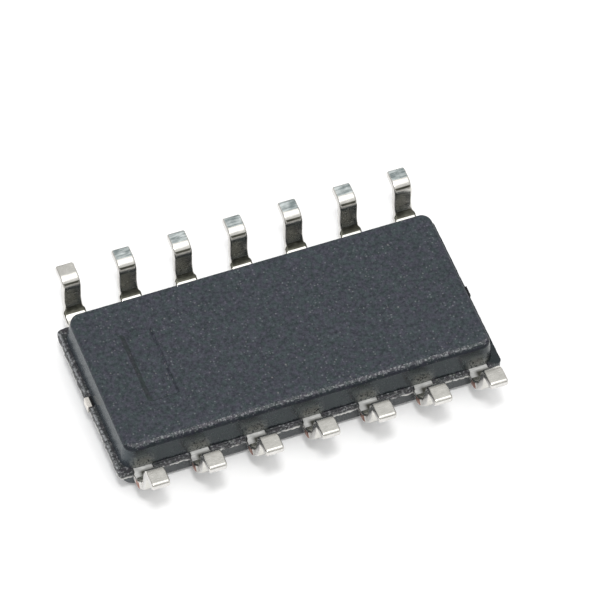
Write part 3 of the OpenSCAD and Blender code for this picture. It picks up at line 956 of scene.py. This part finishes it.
def bend_lead(bm, end, out):
    """Grows the outer strip from a lead's root and rounds its edges."""
    end = push(bm, end, (0, out * ROOT_RUN, 0))
    end = push(bm, end, (0, out * (KNEE_Y - STUB_RUN - STEP_RUN - ROOT_RUN - ROOT_Y), 0))
    end = push(bm, end, (0, out * STEP_RUN, 0), STUB_WIDTH)
    end = push(bm, end, (0, out * STUB_RUN, 0))
    knee = Vector((0, out * KNEE_Y, FRAME_MID + KNEE_MID))
    end = turn(bm, end, knee, out * STUB_ANGLE)
    end = turn(bm, end, knee, out * FLARE_ANGLE, (STUB_WIDTH, LEAD_WIDTH))
    end = turn(bm, end, knee, out * (LEG_TILT - STUB_ANGLE - FLARE_ANGLE))
    along = Vector((0, out * math.cos(LEG_TILT), math.sin(LEG_TILT)))
    outwards = Vector((0, out * math.sin(LEG_TILT), -math.cos(LEG_TILT)))
    end = push(bm, end, along * LEG_LENGTH)
    end = turn(bm, end, end.calc_center_median() + outwards * HEEL_MID, -out * LEG_TILT)
    push(bm, end, (0, out * FOOT_FLAT, 0))
    bmesh.ops.recalc_face_normals(bm, faces=bm.faces)
    tip = [e for e in bm.edges if all(abs(v.co.y) > SPAN / 2 - TOUCH for v in e.verts)
           and abs(e.verts[0].co.x - e.verts[1].co.x) > LEAD_WIDTH / 2]
    round_off(bm, tip, TIP_ROUND, TIP_STEPS)
    sharp = [e for e in bm.edges if len(e.link_faces) == 2 and e.calc_face_angle() > SHARP_ANGLE
             and min(abs(v.co.y) for v in e.verts) > ROOT_Y + ROOT_CLEAR]
    round_off(bm, sharp, EDGE_ROUND, EDGE_STEPS)


print("edge round:", EDGE_ROUND, "tip round:", TIP_ROUND)

# %% [markdown]
# ## Dress a lead
# Where a face lies on the strip and which way it looks decide its finish, and the rules go
# from the general to the special. Sides and tip were sheared. In the near row the shoulders
# are matt, with the foot's painted shadow in their finish, and the ends of the stubs show
# copper. In the far row the feet are gripped, apart from lead 1's clean one, and the inside of
# the knee gets a dark finish that is painted shade.

# %% Dress a lead
FIRST_LEAD = -3 * LEAD_PITCH
FOOT_LENGTH = 0.3
TIP_LENGTH, FOOT_MARGIN, STUB_MARGIN = 0.05, 0.02, 0.02
MATT_REACH = KNEE_Y + 0.1
CUT_START = KNEE_Y + 0.1
SIDEWAYS, UPWARDS, ON_CUT, ON_FOOT = 0.8, 0.75, 0.9, 0.9
KNEE_SHADE_LOW, KNEE_SHADE_HIGH = 0.6, 0.875


def dress_lead(bm, out):
    """Gives every face of a lead the number of its finish."""
    xs = [v.co.x for v in bm.verts if abs(v.co.y) > SPAN / 2 - FOOT_LENGTH]
    middle = (min(xs) + max(xs)) / 2
    gripped = middle > FIRST_LEAD + LEAD_PITCH / 2
    for face in bm.faces:
        place, facing = face.calc_center_median(), face.normal
        reach = abs(place.y)
        at_tip = out * facing.y > SIDEWAYS and reach > SPAN / 2 - TIP_LENGTH
        face.material_index = SHEARED if abs(facing.x) > SIDEWAYS or at_tip else TIN
        if out < 0:
            if facing.z > UPWARDS and reach < MATT_REACH:
                face.material_index = MATT
            on_stub = reach > CUT_START and abs(place.x - middle) > LEAD_WIDTH / 2 + STUB_MARGIN
            if on_stub and abs(facing.x) > ON_CUT:
                face.material_index = COPPER
        else:
            on_foot = facing.z > ON_FOOT and reach > SPAN / 2 - FOOT_FLAT - FOOT_MARGIN
            if gripped and on_foot:
                face.material_index = GRIPPED
            # painted shade on the inside of the far knee
            in_knee = KNEE_Y < reach < KNEE_Y + KNEE_MID and facing.y < 0
            if in_knee and KNEE_SHADE_LOW < facing.z < KNEE_SHADE_HIGH:
                face.material_index = KNEE_SHADE


print("first lead at x", FIRST_LEAD)

# %% [markdown]
# ## All fourteen leads
# Each lead is built from its own root, because the fingers inside differ. It then takes the
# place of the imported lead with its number.

# %% All leads
for number in range(1, 2 * ROW_COUNT + 1):
    lead_bm, root, out = lead_root(number)
    bend_lead(lead_bm, root, out)
    dress_lead(lead_bm, out)
    lead = mesh_object(f"tinned_lead_{number:02d}", lead_bm, lead_finishes)
    to_metres(lead)
    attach(lead, "root")
    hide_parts(f"lead_{number:02d}")
print("leads:", number, "faces in the last:", len(lead.data.polygons))

# %% [markdown]
# ## Paddle and tie bars
# The paddle that carries the die is bare copper, and so are its two tie bars. A film of resin
# darkens them where they run out through the flange, but the tip at the recess end was cut
# last and is bright. Only the two tips are seen from outside, so the finish changes along X
# and no mesh has to be split.

# %% Finish of the paddle
TIE_BAR_TIP, TIE_BAR_FILM = 4.285, 4.19
FILM, BRIGHT_CUT = (0.03, 0.03, 0.032, 1), (0.88, 0.84, 0.78, 1)

frame_copper, tree, shader, place, colour = metal_finish(
    "lead_frame_copper", dark=(0.62, 0.36, 0.22), light=(0.8, 0.52, 0.36),
    rough=(0.25, 0.4), lines=(20, 50, 20), bump=0.3)
along = add(tree, "SeparateXYZ", {"Vector": place}).outputs["X"]
in_film = maths(tree, "GREATER_THAN", maths(tree, "ABSOLUTE", along), TIE_BAR_FILM)
at_tip = maths(tree, "LESS_THAN", along, -TIE_BAR_TIP)
colour = blend(tree, at_tip, blend(tree, in_film, colour, FILM), BRIGHT_CUT)
tree.links.new(colour, shader.inputs["Base Color"])
print("paddle finish:", frame_copper.name)

# %% [markdown]
# ## Inside the resin
# The paddle, the adhesive, the die and its wires are sealed in the body. They keep their
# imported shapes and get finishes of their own, so that the chip is right when it is cut open.

# %% Inside the resin
silver_epoxy = metal_finish(
    "silver_epoxy", dark=(0.45, 0.45, 0.44), light=(0.75, 0.75, 0.73),
    rough=(0.4, 0.65), lines=(40, 40, 40), bump=0.6)[0]
silicon_face = metal_finish(
    "silicon_die", dark=(0.12, 0.14, 0.2), light=(0.3, 0.33, 0.42),
    rough=(0.1, 0.25), lines=(6, 6, 6), bump=0.1)[0]
gold_wire = metal_finish(
    "gold_wire", dark=(0.8, 0.52, 0.16), light=(1.0, 0.75, 0.32),
    rough=(0.15, 0.3), lines=(30, 30, 30), bump=0.1)[0]
inner = {"die_paddle": frame_copper, "die_attach": silver_epoxy, "silicon_die": silicon_face}
inner.update({f"bond_wire_{n:02d}": gold_wire for n in range(1, 2 * ROW_COUNT + 1)})
for name, finish in inner.items():
    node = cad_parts[name]
    node.data.materials.clear()
    node.data.materials.append(finish)
print("inner nodes:", len(inner))

# %% [markdown]
# ## Floor
# The chip lies on a white sheet. A brighter lamp would whiten the sheet, but would also bleach
# the chip. So the sheet glows a little, for rays that come straight from the camera only: it
# looks white, keeps the chip's shadow and sends the chip no more light.

# %% Floor
FLOOR_SIZE, FLOOR_GAP = 1.2, 0.003 * MM
FLOOR_WHITE, FLOOR_GLOW = (0.93, 0.93, 0.93, 1), 0.12

floor_bm = bmesh.new()
sheet = bmesh.ops.create_grid(floor_bm, x_segments=1, y_segments=1, size=FLOOR_SIZE / 2)["verts"]
bmesh.ops.translate(floor_bm, verts=sheet, vec=(0, 0, -FLOOR_GAP))
white_floor = bpy.data.materials.new("white_floor")
white_floor.use_nodes = True
tree = white_floor.node_tree
shader = tree.nodes["Principled BSDF"]
shader.inputs["Base Color"].default_value = FLOOR_WHITE
shader.inputs["Roughness"].default_value = 1.0
shader.inputs["Specular IOR Level"].default_value = 0.0
shader.inputs["Emission Color"].default_value = (1, 1, 1, 1)
seen = add(tree, "LightPath").outputs["Is Camera Ray"]
tree.links.new(maths(tree, "MULTIPLY", seen, FLOOR_GLOW), shader.inputs["Emission Strength"])
floor = mesh_object("floor", floor_bm, [white_floor])
print("floor in metres:", FLOOR_SIZE)

# %% [markdown]
# ## Lamp
# The shadows are short and soft-edged and fall away from the front left, so a small round
# lamp hangs there, high above the chip. An area lamp with the shape of a disc gives such
# edges, and its size sets how soft they are.

# %% Lamp
LAMP_DIRECTION = Vector((-0.152, -0.32, 0.935)).normalized()
LAMP_RANGE, LAMP_SIZE, LAMP_POWER = 0.25, 0.034, 0.21

lamp = bpy.data.lights.new("overhead_lamp", "AREA")
lamp.shape = "DISK"
lamp.size = LAMP_SIZE
lamp.energy = LAMP_POWER
lamp_object = bpy.data.objects.new("overhead_lamp", lamp)
lamp_object.location = LAMP_DIRECTION * LAMP_RANGE
lamp_object.rotation_mode = "QUATERNION"
lamp_object.rotation_quaternion = LAMP_DIRECTION.to_track_quat("Z", "Y")
scene.collection.objects.link(lamp_object)
print("lamp at mm:", as_mm(lamp_object.location))

# %% [markdown]
# ## Room
# Tin is a mirror with a bloom on it, so what it mirrors decides how it looks. A wide softbox
# overhead whitens the bends, the pale room gives the feet their middle grey, and the darker
# horizon darkens the upright legs. No walls are built for this: the room is a world shader
# that sorts directions by their height and by their angle to the softbox.

# %% Room
ROOM_LOW, ROOM_HIGH = (0.32, 0.315, 0.305, 1), (0.72, 0.72, 0.72, 1)
ROOM_SPAN = (0.05, 0.5)
SOFTBOX, SOFTBOX_SPAN = (1.9, 1.9, 1.9, 1), (0.85, 0.93)
SOFTBOX_DIRECTION = (0, -0.12, 0.993)

room = bpy.data.worlds.new("white_room")
room.use_nodes = True
scene.world = room
tree = room.node_tree
towards = add(tree, "TexCoord").outputs["Generated"]
height = add(tree, "SeparateXYZ", {"Vector": towards}).outputs["Z"]
light = blend(tree, spread(tree, height, *ROOM_SPAN), ROOM_LOW, ROOM_HIGH)
pair = {0: towards, 1: SOFTBOX_DIRECTION}
facing = add(tree, "VectorMath", pair, operation="DOT_PRODUCT").outputs["Value"]
light = blend(tree, spread(tree, facing, *SOFTBOX_SPAN), light, SOFTBOX)
tree.links.new(light, tree.nodes["Background"].inputs["Color"])
scene.view_settings.view_transform = "Standard"
print("room nodes:", len(tree.nodes))
